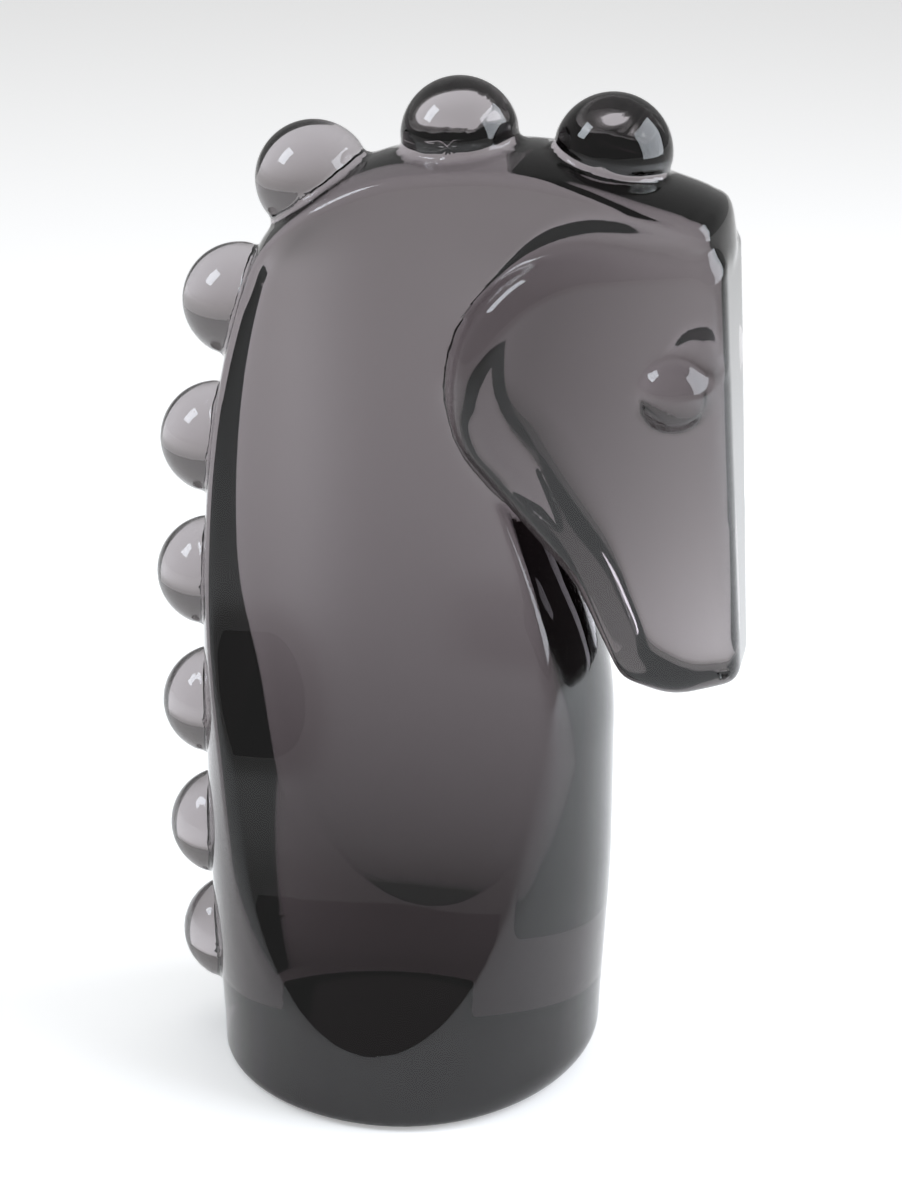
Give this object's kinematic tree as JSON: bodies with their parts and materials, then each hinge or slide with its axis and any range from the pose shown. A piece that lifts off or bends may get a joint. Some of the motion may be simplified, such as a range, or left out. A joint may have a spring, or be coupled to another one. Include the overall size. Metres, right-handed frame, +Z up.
{
  "type": "horse head sculpture",
  "caption": "Solid cast acrylic bust of a horse: round foot, scooped neck sides, a wedge-shaped head with raised round eyes, and a mane of half balls along the crest.",
  "frame": {"origin": "centre of the round foot on its flat underside", "axes": "+Z up along the neck column, +X forwards where the horse looks, Y across the mirror plane"},
  "size_m": [0.1928, 0.1292, 0.3301],
  "materials": {
    "smoke_acrylic": "polished clear smoke grey cast acrylic"
  },
  "bodies": {
    "root": {"horse_bust": "smoke_acrylic"}
  },
  "joints": []
}
